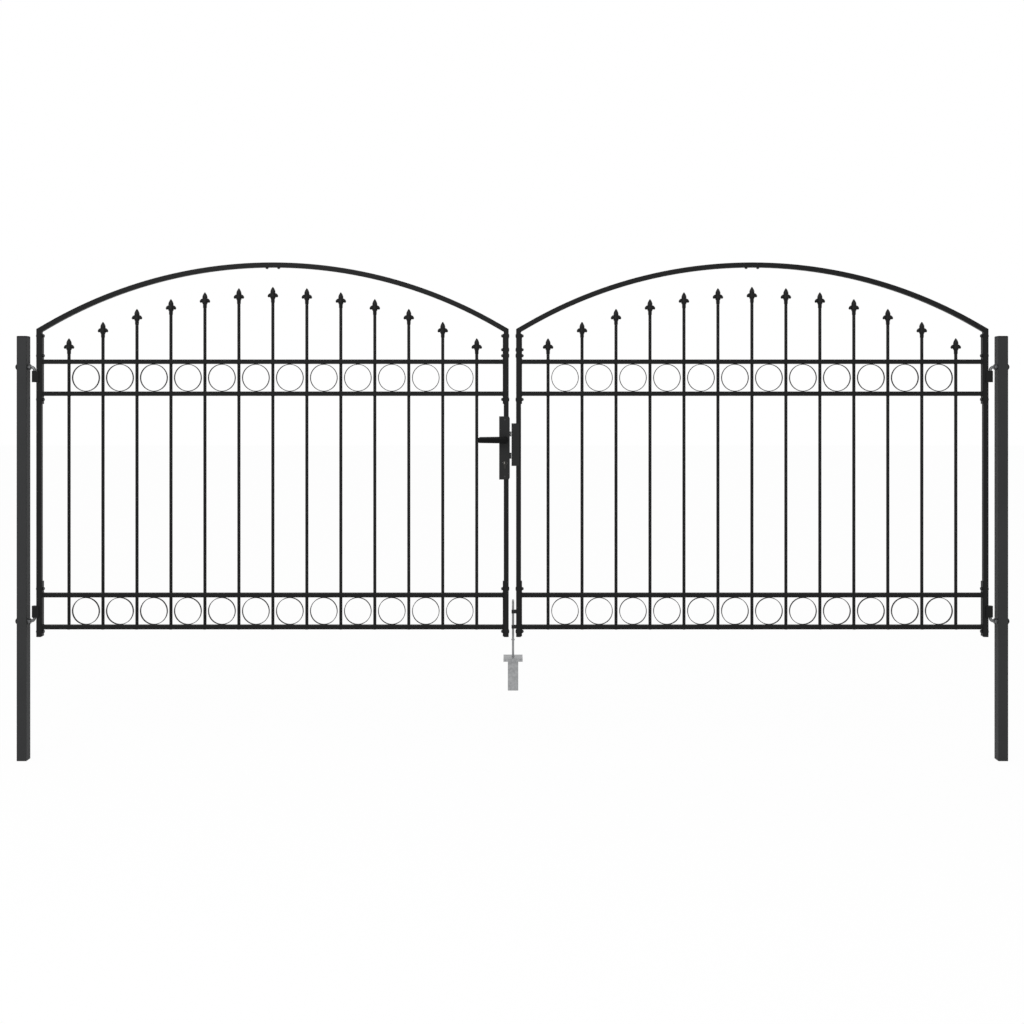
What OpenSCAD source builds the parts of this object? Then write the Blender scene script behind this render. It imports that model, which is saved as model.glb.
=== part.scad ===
// Double-leaf steel fence gate with arched tops.
// Two leaves of square tube, filled with spear-topped pickets and two bands of rings,
// hang on hook pins through square posts and close on a lever lock and a drop bolt.
// Millimetres. X runs along the gate, Y points to the back and Z is up.
// The origin is the middle of the left post's foot.

/* [Posts] */
// Width of the square post tube
post_w = 40; // [36:1:60]
// Wall of the post tube
post_wall = 2; // [1.5:0.5:4]
// Outer corner radius of the post tube
post_corner_r = 3; // [2.5:0.5:6]
// Length of the post tube, foot to top edge
post_h = 1710; // [1650:5:1900]
// Length of the post that stands in the ground
post_buried = 417; // [380:1:500]
// Thickness of the web that closes the post's foot
post_foot_t = 3; // [2:0.5:6]
// Thickness of the plastic cap above the post tube
post_cap_t = 5; // [3:0.5:8]
// Depth of the cap's plug inside the tube
post_cap_plug = 16; // [8:1:30]

/* [Leaf frame] */
// Width of one leaf over its stiles
leaf_w = 1910; // [1700:5:2100]
// Gap between the ground and the leaf's foot
leaf_clear = 84; // [60:1:120]
// Height of the leaf's outer corner above the post's top edge
corner_rise = 33; // [0:1:80]
// Width of the square frame tube
tube_w = 20; // [18:1:24]
// Wall of the frame tube
tube_wall = 1.5; // [1:0.25:2.5]
// Outer corner radius of the frame tube
tube_corner_r = 2.5; // [2:0.25:4]
// Outer radius of the arch
arch_r = 1824; // [1700:1:2200]
// Length of the elbow stub along the arch, from the corner to the bolted joint
elbow_l = 50; // [40:1:90]
// Gap between the post and the leaf
hinge_gap = 35; // [33:0.5:45]
// Gap between the two leaves
meeting_gap = 30; // [28:0.5:36]
// Thickness of the plug's rim below the stile
plug_rim_t = 3; // [2:0.5:6]
// Depth of the plug inside the stile
plug_depth = 14; // [8:1:20]

/* [Rails and rings] */
// Width of the square rail tube
rail_w = 18; // [16:0.5:20]
// Wall of the rail tube
rail_wall = 1.25; // [1:0.25:2]
// Outer corner radius of the rail tube
rail_corner_r = 2; // [1.5:0.25:2.25]
// Height of the lower rail pair above the leaf's foot
lower_pair_h = 27.5; // [15:0.5:40]
// Distance from the leaf's outer corner down to the top of the upper rail pair
upper_pair_drop = 122.6; // [100:0.2:180]
// Gap between a ring and the picket beside it
ring_side_gap = 7; // [3:0.5:14]
// Thickness of the ring's strip
ring_t = 2.5; // [2:0.25:4]
// Depth of the ring's strip, front to back
ring_depth = 10; // [6:1:16]
// Thickness of the end plates that bolt the panel to the stiles
end_plate_t = 4; // [3:0.5:6]
// Height of the lower end plate above its upper rail
lower_plate_above = 47.6; // [30:0.1:80]
// Reach of the upper end plate below its lower rail
upper_plate_below = 32.4; // [20:0.1:60]
// Gap between the upper end plate and the arch
upper_plate_gap = 8.4; // [4:0.1:60]

/* [Pickets and spear points] */
// Diameter of the round pickets
picket_d = 12.6; // [10:0.1:14]
// Wall of the picket tube
picket_wall = 1; // [0.8:0.1:2]
// Number of pickets in one leaf
picket_n = 13; // [11:2:13]
// Distance from the leaf's edge to the first picket's axis
picket_margin = 129.4; // [120:0.1:140]
// Drop of the middle spear tip below the arch's crown
spear_drop = 98; // [80:1:120]
// Amount by which the spear tips' curve is tighter than the arch
spear_curve_inset = 83; // [40:1:160]
// Height of a spear point
spear_h = 46; // [36:1:60]
// Width of the spear's blade at its shoulder
spear_blade_w = 20; // [16:0.5:26]
// Height of the spear's blade
spear_blade_h = 20; // [16:0.5:26]
// Width over the spear's two side lobes
spear_span = 43; // [34:0.5:50]
// Diameter of a side lobe
spear_lobe_d = 12; // [10:0.5:16]
// Drop of the lobes' middle below the tip
spear_lobe_drop = 34; // [28:0.5:38]
// Thickness of the lobes, front to back
spear_lobe_t = 9; // [6:0.5:12]
// Length of the spear's collar around the picket
spear_collar_l = 18; // [10:1:30]
// Wall of the collar
spear_collar_wall = 1.2; // [1:0.1:3]

/* [Hinges] */
// Diameter of the hook pins
pin_d = 12; // [10:0.5:14]
// Distance from the hinge axis to the stile's outer face
axis_off = 10.5; // [10:0.25:13]
// Centre-line radius of the hook pin's bend
bend_r = 13; // [12:0.5:16]
// Height of the lower hook pin above the leaf's foot
lower_pin_h = 60.5; // [50:0.5:80]
// Drop of the upper hook pin below the post's top edge
upper_pin_drop = 120; // [80:1:160]
// Distance from the hook pin's arm to the near end of the hinge eye
eye_off = 15.5; // [14:0.5:20]
// Length of the hinge eye
eye_l = 46; // [36:1:60]
// Outer diameter of the hinge eye
eye_d = 20; // [18:0.5:22]
// Thickness of the hinge strap
strap_t = 4; // [3:0.5:6]
// Reach of the strap over the stile's front face
strap_lap = 12; // [8:0.5:18]
// Width over the flats of the pin's nut
nut_w = 19; // [17:0.5:22]
// Thickness of the pin's nut
nut_t = 8; // [6:0.5:10]
// Diameter of the washer under the nut
washer_d = 24; // [22:0.5:30]
// Thickness of the washer
washer_t = 2; // [1.5:0.5:3]
// Diameter of the domed cap over the pin's outer end
dome_d = 30; // [26:0.5:34]
// Height of the domed cap
dome_h = 12; // [8:0.5:14]

/* [Lock] */
// Drop of the lever's axis below the upper rail pair
lever_drop = 178.5; // [150:0.5:300]
// Distance from the leaf's meeting face back to the lever's axis
lever_back = 15.7; // [14:0.1:18]
// Length of the lever, from its axis to its tip
lever_l = 111; // [80:1:120]
// Height of the lever at its root
lever_root_d = 25; // [24:0.5:34]
// Height of the lever at its tip
lever_tip_d = 22; // [16:0.5:26]
// Thickness of the lever's arm, front to back
lever_t = 14; // [10:0.5:18]
// Diameter of the lever's neck
neck_d = 18; // [14:0.5:22]
// Length of the lever's neck
neck_l = 30; // [26:0.5:40]
// Diameter of the spindle that joins the two levers
spindle_d = 9; // [7:0.5:10]
// Length of the lock's long plates
lock_plate_l = 255.5; // [250:0.5:280]
// Reach of the long plates below the lever's axis
lock_plate_below = 159.5; // [150:0.5:165]
// Thickness of the long plates
lock_plate_t = 3.5; // [2.5:0.25:5]
// Reach of the long plates behind the meeting face
lock_plate_back = 38.4; // [35:0.1:45]
// Reach of the long plates past the meeting face
lock_plate_front = 4.4; // [2:0.1:4.5]
// Chamfer on the long plates' outer corners
lock_plate_chamfer = 4; // [2:0.5:6]
// Margin of the lock case inside the long plates' outline
lock_case_margin = 9; // [6:0.5:12]
// Distance from the lever's axis down to the key cylinder's axis
key_pitch = 92; // [85:1:96]
// Diameter of the key cylinder's barrel
key_d = 17; // [16:0.5:18]
// Width of the key cylinder's stem
key_stem_w = 10; // [9:0.5:11]
// Height of the key cylinder from the top of its barrel to the foot of its stem
key_h = 33; // [31:0.5:35]
// Amount that the key cylinder stands proud of the long plates
key_proud = 2; // [1:0.5:4]
// Height of the latch bolt's middle above the lever's axis
latch_up = 24.5; // [23:0.5:30]
// Height of the latch bolt
latch_h = 20; // [16:0.5:22]
// Thickness of the latch bolt
latch_t = 10; // [8:0.5:11]
// Length of the bevel on the latch bolt's nose
latch_bevel = 7; // [4:0.5:9]
// Drop of the dead bolt's middle below the lever's axis
dead_down = 63.5; // [60:0.5:66]
// Height of the dead bolt
dead_h = 24; // [18:0.5:26]
// Thickness of the dead bolt
dead_t = 9; // [7:0.5:10]
// Length of the bolts inside the stile at rest
bolt_tail = 18; // [17:0.5:20]
// Travel of the latch bolt when the lever turns
latch_travel = 6.5; // [5:0.25:7]
// Travel of the dead bolt back into the lock
dead_back = 7; // [5:0.25:7]

/* [Keep] */
// Reach of the keep past the right leaf's meeting face
keep_reach = 18.6; // [16:0.1:19]
// Thickness of the keep's sheet
keep_t = 2.5; // [2:0.25:3.5]
// Length of the keep
keep_l = 172; // [150:0.5:180]
// Reach of the keep below the lever's axis
keep_below = 104.5; // [90:0.5:110]
// Lap of the keep's cheeks over the stile
keep_lap = 13; // [8:0.5:16]
// Room around a bolt in the keep's mouth, above and below
mouth_room_z = 3; // [2:0.5:5]
// Room around a bolt in the keep's mouth, front and back
mouth_room_y = 0.75; // [0.3:0.05:0.8]

/* [Drop bolt and ground socket] */
// Diameter of the drop bolt's rod
drop_d = 9; // [8:0.5:10]
// Distance from the right leaf's meeting face to the rod's axis
drop_off = 12.4; // [10:0.1:14]
// Height of the rod's bent handle above the leaf's foot
drop_top_h = 136; // [130:1:160]
// Length of the handle, from the rod's axis
drop_handle_l = 50; // [35:1:70]
// Centre-line radius of the handle's bend
drop_bend_r = 10; // [8:0.5:14]
// Height of the upper guide's middle above the leaf's foot
upper_guide_h = 99; // [80:0.5:105]
// Height of the lower guide's middle above the leaf's foot
lower_guide_h = 37.5; // [25:0.5:60]
// Drop of the rod's stop ring below the leaf's foot
stop_drop = 14.5; // [8:0.5:30]
// Outer diameter of the stop ring
stop_d = 13; // [11:0.5:16]
// Height of the stop ring
stop_h = 5; // [3:0.5:8]
// Height of a guide
guide_h = 14; // [10:0.5:20]
// Wall of a guide
guide_wall = 1.5; // [1:0.25:3]
// Width of the ground socket's square flange
socket_flange_w = 77; // [60:1:100]
// Thickness of the flange
socket_flange_t = 12; // [6:1:16]
// Width of the socket's square tube
socket_tube_w = 42; // [34:1:50]
// Wall of the socket's tube
socket_wall = 2; // [1.5:0.5:4]
// Length of the socket's tube below the flange
socket_tube_l = 120; // [80:1:160]
// Width of the square hole in the flange
socket_hole_w = 10.4; // [10.2:0.1:14]

/* [Clearances] */
// Gap around a piece that is welded or pressed into its seat
seat_gap = 0.2; // [0.1:0.05:0.3]
// Radial gap of a hinge pin in its eye
pin_gap = 0.1; // [0.05:0.01:0.2]
// Gap around a piece that slides or turns
slide_gap = 0.3; // [0.2:0.05:0.5]
// Gap that the bolts leave before the keep and the socket at rest
rest_gap = 0.6; // [0.4:0.1:1]

/* [Hidden] */
// Extra length of a cutting shape past the face that it cuts
over = 1;
// Facets of small round pieces and of the large arch
$fn = 64;
arch_fn = 720;

post_half = post_w / 2;
tube_half = tube_w / 2;
leaf_half = leaf_w / 2;
leaf_foot = post_buried + leaf_clear;
left_mid = post_half + hinge_gap + leaf_half;
gate_mid = left_mid + leaf_half + meeting_gap / 2;
axis_x = post_half + hinge_gap - axis_off;

corner_z = post_h + corner_rise;
arch_z = corner_z - sqrt(arch_r * arch_r - leaf_half * leaf_half);
crown_z = arch_z + arch_r;
spear_curve_r = arch_r - spear_curve_inset;
corner_angle = acos(leaf_half / arch_r);
elbow_angle = corner_angle + elbow_l / arch_r * 180 / PI;
stub_mid_r = arch_r - tube_half;
stub_l = (leaf_half - arch_r * cos(elbow_angle)) / sin(elbow_angle);
mitre_z = arch_z + arch_r * sin(elbow_angle) - stub_l * cos(elbow_angle);
inner_corner_z = mitre_z - tube_w * tan(elbow_angle / 2);

picket_pitch = (leaf_w - 2 * picket_margin) / (picket_n - 1);
picket_x = [for (i = [0 : picket_n - 1]) i * picket_pitch - leaf_half + picket_margin];
ring_x = [for (i = [0 : picket_n - 2]) picket_x[i] + picket_pitch / 2];
ring_d = picket_pitch - picket_d - 2 * ring_side_gap;
ring_room = ring_d + 2 * seat_gap;
pair_h = 2 * rail_w + ring_room;
lower_pair_z = leaf_foot + lower_pair_h;
upper_pair_z = corner_z - upper_pair_drop - pair_h;
lower_ring_z = lower_pair_z + pair_h / 2;
upper_ring_z = upper_pair_z + pair_h / 2;
rail_l = leaf_w - 2 * tube_w - 2 * end_plate_t;
rail_lift = ring_room + rail_w;

picket_foot_z = lower_pair_z + rail_wall;
picket_hole_d = picket_d + 2 * seat_gap;

lower_pin_z = leaf_foot + lower_pin_h;
upper_pin_z = post_h - upper_pin_drop;

lever_x = leaf_half - lever_back;
lever_z = upper_pair_z - lever_drop;
key_z = lever_z - key_pitch;
latch_z = lever_z + latch_up;
dead_z = lever_z - dead_down;
lock_plate_z = lever_z - lock_plate_below;
plate_face = tube_half + lock_plate_t;
case_x = leaf_half - lock_plate_back + over;
case_w = leaf_half - tube_wall - case_x;
case_z = lock_plate_z + lock_case_margin;
case_h = lock_plate_l - 2 * lock_case_margin;
keep_z = lever_z - keep_below;
bolt_tip_x = leaf_half + meeting_gap - keep_reach - rest_gap;
bolt_tail_x = leaf_half - bolt_tail;

drop_x = leaf_half + drop_off;
drop_top_z = leaf_foot + drop_top_h;
drop_tip_z = post_buried + rest_gap;

coat_black = [0.22, 0.225, 0.225];
plastic_black = [0.12, 0.12, 0.12];
zinc_grey = [0.62, 0.63, 0.64];
nickel_grey = [0.45, 0.44, 0.42];

// Places: the left leaf's middle, the right half as a mirror image, and both posts
module on_left_leaf() {
    translate([left_mid, 0, 0]) children();
}

module on_right_half() {
    translate([2 * gate_mid, 0, 0]) mirror([1, 0, 0]) children();
}

module on_right_leaf() {
    on_right_half() on_left_leaf() children();
}

module on_both_posts() {
    children();
    on_right_half() children();
}

// The same piece at the leaf's two sides
module on_both_sides() {
    children();
    mirror([1, 0, 0]) children();
}

// Corner radius inside a tube
function inner_r(corner_r, wall) = max(corner_r - wall, 0.5);

// Height of a spear tip at a place along the leaf
function spear_tip_z(x) =
    crown_z - spear_drop - spear_curve_r + sqrt(spear_curve_r * spear_curve_r - x * x);

// Shapes that several pieces share
module block(size_x, size_y, size_z) {
    translate([-size_x / 2, -size_y / 2, 0]) cube([size_x, size_y, size_z]);
}

// A square with round corners, and a bar of that section that stands on the origin
module round_square(width, corner_r) {
    flat_w = width - 2 * corner_r;
    square([width, flat_w], center = true);
    square([flat_w, width], center = true);
    for (x = [-1, 1], y = [-1, 1])
        translate([x, y] * flat_w / 2) circle(r = corner_r);
}

module round_bar(width, corner_r, length) {
    linear_extrude(height = length) round_square(width, corner_r);
}

module along_x(length, d) {
    rotate([0, 90, 0]) cylinder(h = length, d = d);
}

module across_y(length, d) {
    rotate([90, 0, 0]) cylinder(h = length, d = d, center = true);
}

// A flat outline in X and Z, given thickness to the front and back of the gate's plane
module flat_plate(thickness) {
    rotate([90, 0, 0]) linear_extrude(height = thickness, center = true) children();
}

// A quarter bend of rod in the X and Z plane, from along +X at the origin to along +Z
module rod_bend(radius, d) {
    translate([0, 0, radius]) rotate([90, 0, 0]) rotate([0, 0, -90])
        rotate_extrude(angle = 90) translate([radius, 0]) circle(d = d);
}

// Posts
module post_tube() {
    pin_hole_d = pin_d + 2 * seat_gap;
    difference() {
        round_bar(post_w, post_corner_r, post_h);
        translate([0, 0, post_foot_t])
            round_bar(post_w - 2 * post_wall, inner_r(post_corner_r, post_wall), post_h);
        for (z = [lower_pin_z, upper_pin_z])
            translate([-post_half - over, 0, z]) along_x(post_w + 2 * over, pin_hole_d);
    }
}

module left_post() {
    color(coat_black) post_tube();
}

module right_post() {
    color(coat_black) on_right_half() post_tube();
}

// A plug closes the tube, and its rim has a lower step around a raised field
module post_cap() {
    plug_w = post_w - 2 * post_wall - 2 * seat_gap;
    step = post_cap_t / 3;
    translate([0, 0, post_h]) {
        round_bar(post_w, post_corner_r, post_cap_t - step);
        round_bar(post_w - 2 * step, post_corner_r, post_cap_t);
        translate([0, 0, -post_cap_plug])
            round_bar(plug_w, inner_r(post_corner_r, post_wall), post_cap_plug + step);
    }
}

module post_caps() {
    color(plastic_black) on_both_posts() post_cap();
}

// Hinges: hook pins through the posts, the upper one bent down and the lower one bent up
module hook_pin() {
    arm_start = -post_half - dome_h / 4;
    arm_l = axis_x - bend_r - arm_start;
    translate([arm_start, 0, 0]) along_x(arm_l, pin_d);
    translate([axis_x - bend_r, 0, 0]) rod_bend(bend_r, pin_d);
    translate([axis_x, 0, bend_r]) cylinder(h = eye_off - bend_r + eye_l - strap_t, d = pin_d);
}

module at_hinges() {
    translate([0, 0, lower_pin_z]) children();
    translate([0, 0, upper_pin_z]) mirror([0, 0, 1]) children();
}

module left_hinge_pins() {
    color(zinc_grey) at_hinges() hook_pin();
}

module right_hinge_pins() {
    color(zinc_grey) on_right_half() at_hinges() hook_pin();
}

// A washer and a hexagon nut against the post's inner face
module pin_nut() {
    difference() {
        translate([post_half, 0, 0]) {
            along_x(washer_t, washer_d);
            rotate([0, 90, 0])
                cylinder(h = washer_t + nut_t, d = nut_w / cos(30), $fn = 6);
        }
        along_x(post_w + nut_t + washer_t, pin_d + 2 * pin_gap);
    }
}

module hinge_nuts() {
    color(zinc_grey) on_both_posts() at_hinges() pin_nut();
}

// A dome covers the pin's end on the post's outer face
module pin_cap() {
    ball_r = (dome_d * dome_d / 4 + dome_h * dome_h) / (2 * dome_h);
    rim_angle = asin(dome_d / 2 / ball_r);
    steps = 8;
    profile = [
        for (i = [0 : steps])
            let (a = rim_angle * i / steps)
                [ball_r * sin(a), dome_h - ball_r + ball_r * cos(a)]
    ];
    difference() {
        translate([-post_half, 0, 0]) rotate([0, -90, 0])
            rotate_extrude() polygon(concat(profile, [[0, 0]]));
        translate([-post_half - dome_h / 2, 0, 0]) along_x(post_half, pin_d + 2 * seat_gap);
    }
}

module pin_caps() {
    color(plastic_black) on_both_posts() at_hinges() pin_cap();
}

// The eye is a strap rolled round the pin and welded to the stile's side and front
module hinge_eye() {
    strap_x = axis_x + axis_off + strap_lap;
    translate([0, 0, eye_off]) difference() {
        union() {
            translate([axis_x, 0, 0]) cylinder(h = eye_l, d = eye_d);
            translate([axis_x, -tube_half, 0]) cube([axis_off, tube_half, eye_l]);
            translate([axis_x, -tube_half - strap_t, 0])
                cube([strap_x - axis_x, strap_t, eye_l]);
        }
        translate([axis_x + axis_off, -tube_half, -over])
            cube([eye_d, 2 * tube_w, eye_l + 2 * over]);
        translate([axis_x, 0, -over]) cylinder(h = eye_l + 2 * over, d = pin_d + 2 * pin_gap);
    }
}

module left_hinge_eyes() {
    color(coat_black) at_hinges() hinge_eye();
}

module right_hinge_eyes() {
    color(coat_black) on_right_half() at_hinges() hinge_eye();
}

// Frame: a stretch of the arch between two angles, inset from the tube's outer faces
module arch_stretch(from_angle, to_angle, inset) {
    translate([0, 0, arch_z]) rotate([90, 0, 0]) rotate([0, 0, from_angle])
        rotate_extrude(angle = to_angle - from_angle, $fn = arch_fn)
            translate([arch_r - tube_half, 0])
                round_square(tube_w - 2 * inset, inner_r(tube_corner_r, inset));
}

// The space past the mitre, on its upper (0) or lower (-1) side
module mitre_cut(side) {
    cut = 2 * tube_w;
    translate([leaf_half, 0, mitre_z]) rotate([0, -elbow_angle / 2, 0])
        translate([-cut, -tube_w, side * cut]) cube([2 * cut, 2 * tube_w, cut]);
}

// One side of the frame: the upright, and the elbow stub that leads from it into the arch
module upright(inset, past_end) {
    width = tube_w - 2 * inset;
    corner_r = inner_r(tube_corner_r, inset);
    difference() {
        translate([leaf_half - tube_half, 0, leaf_foot - past_end])
            round_bar(width, corner_r, mitre_z - leaf_foot + past_end);
        mitre_cut(0);
    }
    difference() {
        translate([stub_mid_r * cos(elbow_angle), 0, arch_z + stub_mid_r * sin(elbow_angle)])
            rotate([0, 180 - elbow_angle, 0]) translate([0, 0, -past_end])
                round_bar(width, corner_r, stub_l + past_end + over);
        mitre_cut(-1);
    }
}

module meeting_stile() {
    difference() {
        upright(0, 0);
        upright(tube_wall, over);
    }
}

module hinge_stile() {
    mirror([1, 0, 0]) meeting_stile();
}

// The half of the arch next to the meeting stile
module arch_half() {
    difference() {
        arch_stretch(elbow_angle, 90, 0);
        arch_stretch(elbow_angle - 1, 91, tube_wall);
    }
}

// Sideways room for a bolt through the stile's outer wall
module bolt_window(z, height, thickness) {
    translate([leaf_half - tube_wall - over, -thickness / 2 - slide_gap, z - height / 2 - slide_gap])
        cube([tube_wall + 2 * over, thickness + 2 * slide_gap, height + 2 * slide_gap]);
}

// The lock's stile is notched from behind for the case and pierced for the bolts
module lock_stile() {
    difference() {
        meeting_stile();
        translate([leaf_half - tube_w - over, -tube_half - over, case_z])
            cube([tube_w - tube_wall + over, tube_w + 2 * over, case_h]);
        bolt_window(latch_z, latch_h, latch_t);
        bolt_window(dead_z, dead_h, dead_t);
    }
}

module left_hinge_stile() {
    color(coat_black) on_left_leaf() hinge_stile();
}

module left_lock_stile() {
    color(coat_black) on_left_leaf() lock_stile();
}

module right_hinge_stile() {
    color(coat_black) on_right_leaf() hinge_stile();
}

module right_keep_stile() {
    color(coat_black) on_right_leaf() meeting_stile();
}

module left_arch_hinge_half() {
    color(coat_black) on_left_leaf() mirror([1, 0, 0]) arch_half();
}

module left_arch_lock_half() {
    color(coat_black) on_left_leaf() arch_half();
}

module right_arch_hinge_half() {
    color(coat_black) on_right_leaf() mirror([1, 0, 0]) arch_half();
}

module right_arch_keep_half() {
    color(coat_black) on_right_leaf() arch_half();
}

// Plugs close the stiles' feet
module stile_plugs() {
    plug_w = tube_w - 2 * tube_wall - 2 * seat_gap;
    step = plug_rim_t / 3;
    on_both_sides() translate([leaf_half - tube_half, 0, leaf_foot]) {
        translate([0, 0, -plug_rim_t + step]) round_bar(tube_w, tube_corner_r, plug_rim_t - step);
        translate([0, 0, -plug_rim_t]) round_bar(tube_w - 2 * step, tube_corner_r, plug_rim_t);
        translate([0, 0, -step])
            round_bar(plug_w, inner_r(tube_corner_r, tube_wall), plug_depth + step);
    }
}

module left_stile_plugs() {
    color(plastic_black) on_left_leaf() stile_plugs();
}

module right_stile_plugs() {
    color(plastic_black) on_right_leaf() stile_plugs();
}

// Panel: end plates against the stiles
module end_plates() {
    lower_l = lower_pair_h + pair_h + lower_plate_above;
    upper_z = upper_pair_z - upper_plate_below;
    upper_l = inner_corner_z - upper_plate_gap - upper_z;
    plate_x = leaf_half - tube_w - end_plate_t;
    on_both_sides() {
        translate([plate_x, -tube_half, leaf_foot]) cube([end_plate_t, tube_w, lower_l]);
        translate([plate_x, -tube_half, upper_z]) cube([end_plate_t, tube_w, upper_l]);
    }
}

module left_end_plates() {
    color(coat_black) on_left_leaf() end_plates();
}

module right_end_plates() {
    color(coat_black) on_right_leaf() end_plates();
}

// A bar of the rails' height that lies along X
module lying_bar(width, corner_r, length) {
    translate([-length / 2, 0, rail_w / 2]) rotate([0, 90, 0]) round_bar(width, corner_r, length);
}

// A rail tube with a row of punched holes; a blind rail is punched on its upper side only
module rail(z, blind) {
    inner_w = rail_w - 2 * rail_wall;
    hole_z = blind ? rail_w / 2 : -over;
    translate([0, 0, z]) difference() {
        lying_bar(rail_w, rail_corner_r, rail_l);
        lying_bar(inner_w, inner_r(rail_corner_r, rail_wall), rail_l + 2 * over);
        for (x = picket_x)
            translate([x, 0, hole_z]) cylinder(h = rail_w + 2 * over, d = picket_hole_d);
    }
}

module upper_rails() {
    rail(upper_pair_z, false);
    rail(upper_pair_z + rail_lift, false);
}

module lower_rails() {
    rail(lower_pair_z, true);
    rail(lower_pair_z + rail_lift, false);
}

module left_upper_rails() {
    color(coat_black) on_left_leaf() upper_rails();
}

module left_lower_rails() {
    color(coat_black) on_left_leaf() lower_rails();
}

module right_upper_rails() {
    color(coat_black) on_right_leaf() upper_rails();
}

module right_lower_rails() {
    color(coat_black) on_right_leaf() lower_rails();
}

// Rings of flat strip between the two rails of a pair
module ring_row(z) {
    for (x = ring_x)
        translate([x, 0, z]) difference() {
            across_y(ring_depth, ring_d);
            across_y(ring_depth + 2 * over, ring_d - 2 * ring_t);
        }
}

module left_upper_rings() {
    color(coat_black) on_left_leaf() ring_row(upper_ring_z);
}

module left_lower_rings() {
    color(coat_black) on_left_leaf() ring_row(lower_ring_z);
}

module right_upper_rings() {
    color(coat_black) on_right_leaf() ring_row(upper_ring_z);
}

module right_lower_rings() {
    color(coat_black) on_right_leaf() ring_row(lower_ring_z);
}

// Pickets stand in the lowest rail and end at their spear points
module pickets() {
    for (x = picket_x) {
        picket_l = spear_tip_z(x) - spear_h - picket_foot_z;
        translate([x, 0, picket_foot_z]) difference() {
            cylinder(h = picket_l, d = picket_d);
            translate([0, 0, -over])
                cylinder(h = picket_l + 2 * over, d = picket_d - 2 * picket_wall);
        }
    }
}

module left_pickets() {
    color(coat_black) on_left_leaf() pickets();
}

module right_pickets() {
    color(coat_black) on_right_leaf() pickets();
}

// A sleeve round the picket's upper end, closed at its top by the spear's waist
module spear_collar() {
    difference() {
        cylinder(h = spear_collar_l + spear_collar_wall, d = picket_hole_d + 2 * spear_collar_wall);
        translate([0, 0, -over]) cylinder(h = spear_collar_l + over, d = picket_hole_d);
    }
}

// A spear point with its tip at the origin: a round blade over a waist,
// two flat lobes that hang from the blade's shoulder, and a collar below
module spear_point() {
    blade_r = spear_blade_w / 2;
    lobe_r = spear_lobe_d / 2;
    lobe_x = spear_span / 2 - lobe_r;
    translate([0, 0, -spear_blade_h]) cylinder(h = spear_blade_h, r1 = blade_r, r2 = 0.5);
    translate([0, 0, -spear_h])
        cylinder(h = spear_h - spear_blade_h, r1 = picket_d / 2, r2 = blade_r);
    flat_plate(spear_lobe_t) {
        polygon([
            [-blade_r, -spear_blade_h], [blade_r, -spear_blade_h],
            [lobe_x + lobe_r / 2, -spear_lobe_drop + lobe_r * sqrt(3) / 2],
            [lobe_x, -spear_lobe_drop - lobe_r], [picket_d / 2, -spear_h + lobe_r / 2],
            [-picket_d / 2, -spear_h + lobe_r / 2], [-lobe_x, -spear_lobe_drop - lobe_r],
            [-lobe_x - lobe_r / 2, -spear_lobe_drop + lobe_r * sqrt(3) / 2]
        ]);
        for (side = [-1, 1])
            translate([side * lobe_x, -spear_lobe_drop]) circle(r = lobe_r);
    }
    translate([0, 0, -spear_h - spear_collar_l]) spear_collar();
}

module spear_points() {
    for (x = picket_x)
        translate([x, 0, spear_tip_z(x)]) spear_point();
}

module left_spear_points() {
    color(coat_black) on_left_leaf() spear_points();
}

module right_spear_points() {
    color(coat_black) on_right_leaf() spear_points();
}

// Lock: the outline of the key cylinder, widened by a gap for its hole
module key_outline(gap) {
    stem_r = key_stem_w / 2 + gap;
    stem_foot = key_h - key_d / 2 - key_stem_w / 2;
    translate([lever_x, key_z]) {
        circle(d = key_d + 2 * gap);
        translate([-stem_r, -stem_foot]) square([2 * stem_r, stem_foot]);
        translate([0, -stem_foot]) circle(r = stem_r);
    }
}

// A slot for a bolt, from the case's mouth back past the bolt's travel
module bolt_slot(z, height, thickness, travel) {
    slot_x = bolt_tail_x - travel - over;
    translate([slot_x, -thickness / 2 - slide_gap, z - height / 2 - slide_gap])
        cube([leaf_half - slot_x, thickness + 2 * slide_gap, height + 2 * slide_gap]);
}

module lock_case() {
    color(coat_black) on_left_leaf() difference() {
        translate([case_x, -tube_half, case_z]) cube([case_w, tube_w, case_h]);
        bolt_slot(latch_z, latch_h, latch_t, latch_travel);
        bolt_slot(dead_z, dead_h, dead_t, dead_back);
        translate([lever_x, 0, lever_z]) across_y(tube_w + 2 * over, spindle_d + 4 * slide_gap);
        flat_plate(tube_w + 2 * over) key_outline(seat_gap);
    }
}

// A long plate with its outer corners cut, holes for the spindle and the key cylinder
module lock_plate() {
    x0 = leaf_half - lock_plate_back;
    x1 = leaf_half + lock_plate_front;
    z1 = lock_plate_z + lock_plate_l;
    cut = lock_plate_chamfer;
    flat_plate(lock_plate_t) difference() {
        polygon([
            [x0, lock_plate_z], [x1 - cut, lock_plate_z], [x1, lock_plate_z + 2 * cut],
            [x1, z1 - 2 * cut], [x1 - cut, z1], [x0, z1]
        ]);
        translate([lever_x, lever_z]) circle(d = spindle_d + 2 * slide_gap);
        key_outline(seat_gap);
    }
}

module lock_front_plate() {
    color(coat_black) on_left_leaf() translate([0, -plate_face + lock_plate_t / 2, 0]) lock_plate();
}

module lock_back_plate() {
    color(coat_black) on_left_leaf() translate([0, plate_face - lock_plate_t / 2, 0]) lock_plate();
}

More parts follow.
